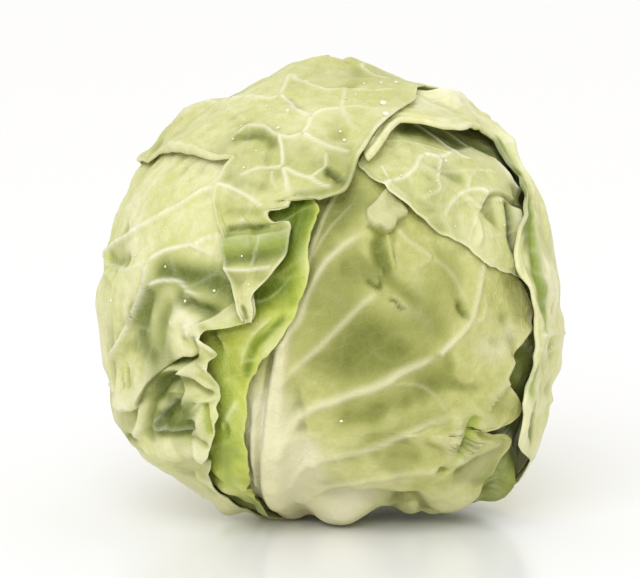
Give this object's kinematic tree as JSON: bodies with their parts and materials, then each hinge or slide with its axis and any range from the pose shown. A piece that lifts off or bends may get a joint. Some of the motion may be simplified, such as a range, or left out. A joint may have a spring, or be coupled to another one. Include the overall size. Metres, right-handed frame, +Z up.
{
  "type": "green cabbage",
  "caption": "Whole head of green cabbage, as picked: a tight heart wrapped in broad ribbed leaves with waved edges, on a short cut stem that it stands on.",
  "frame": {"origin": "centre of the cut face of the stem, on which the head stands", "axes": "+Z up through the crown, -Y towards the side with the open front leaf and its thick white midrib"},
  "size_m": [0.1772, 0.1869, 0.177],
  "materials": {
    "stalk": "matte, pale cut stalk",
    "heart_leaf": "satin, pale inner leaf",
    "front_leaf": "satin, green leaf with a white midrib",
    "inner_leaf": "satin, bright yellow-green leaf",
    "outer_leaf": "satin, pale green outer leaf with a waxy bloom"
  },
  "bodies": {
    "root": {"stem": "stalk", "heart": "heart_leaf", "leaf_right_low": "outer_leaf", "leaf_front": "front_leaf", "leaf_left_front": "inner_leaf", "leaf_right_shoulder": "outer_leaf", "leaf_left": "outer_leaf", "leaf_right": "outer_leaf", "leaf_crown": "outer_leaf"}
  },
  "joints": []
}
